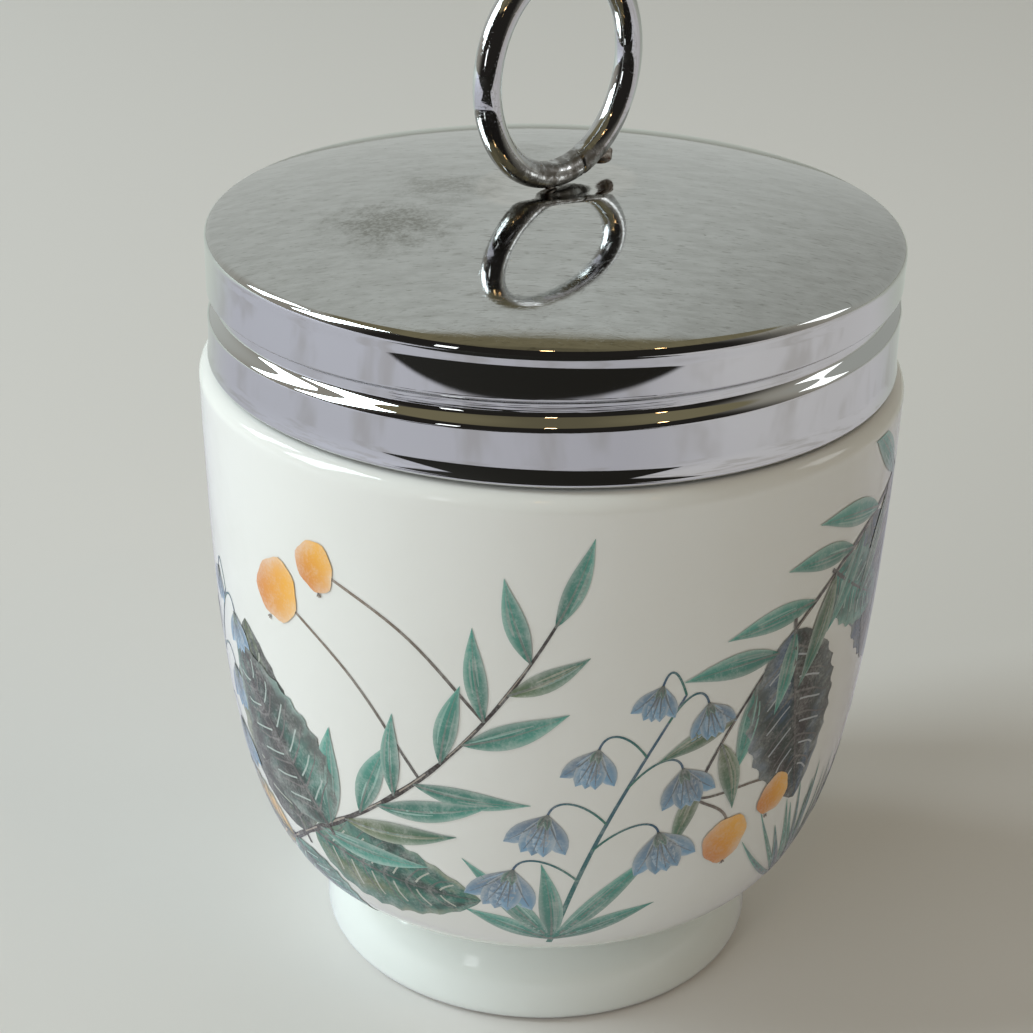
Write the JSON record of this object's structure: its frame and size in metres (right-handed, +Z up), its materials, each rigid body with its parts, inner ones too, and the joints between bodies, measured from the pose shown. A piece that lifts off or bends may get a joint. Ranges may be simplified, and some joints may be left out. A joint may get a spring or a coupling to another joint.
{
  "type": "egg coddler",
  "caption": "Footed porcelain cup with a screw thread at its neck, closed by a pressed chrome screw lid with a rolled thread and a welded wire lifting ring.",
  "frame": {"origin": "centre of the face that the foot stands on", "axes": "+Z up the axis of the cup and lid; the lifting ring lies in the XZ plane with the lid closed"},
  "size_m": [0.0701, 0.07, 0.1058],
  "materials": {
    "porcelain": "clear glossy glaze over white porcelain, with a printed spray of leaves and berries",
    "lid_chrome": "chrome plate on pressed sheet, finely hazed by wear on the top",
    "ring_chrome": "bright chrome plate on wire",
    "weld_metal": "dull, heat-stained weld metal"
  },
  "bodies": {
    "cup": {"porcelain_cup": "porcelain"},
    "screw_axis": {"ring_weld": "weld_metal"},
    "lid": {"lid_shell": "lid_chrome", "lifting_ring": "ring_chrome"}
  },
  "joints": [
    {"name": "lid_rise", "type": "slide", "parent": "cup", "child": "screw_axis", "axis": [0, 0, 1], "range_m": [0, 0.015]},
    {"name": "lid_turn", "type": "hinge", "parent": "screw_axis", "child": "lid", "pos_m": [0, 0, 0.0665], "axis": [0, 0, 1], "range_deg": [0, 1080]}
  ],
  "couplings": [
    {"joint": "lid_rise", "follows": "lid_turn", "m_per_rad": 0.00079577}
  ]
}
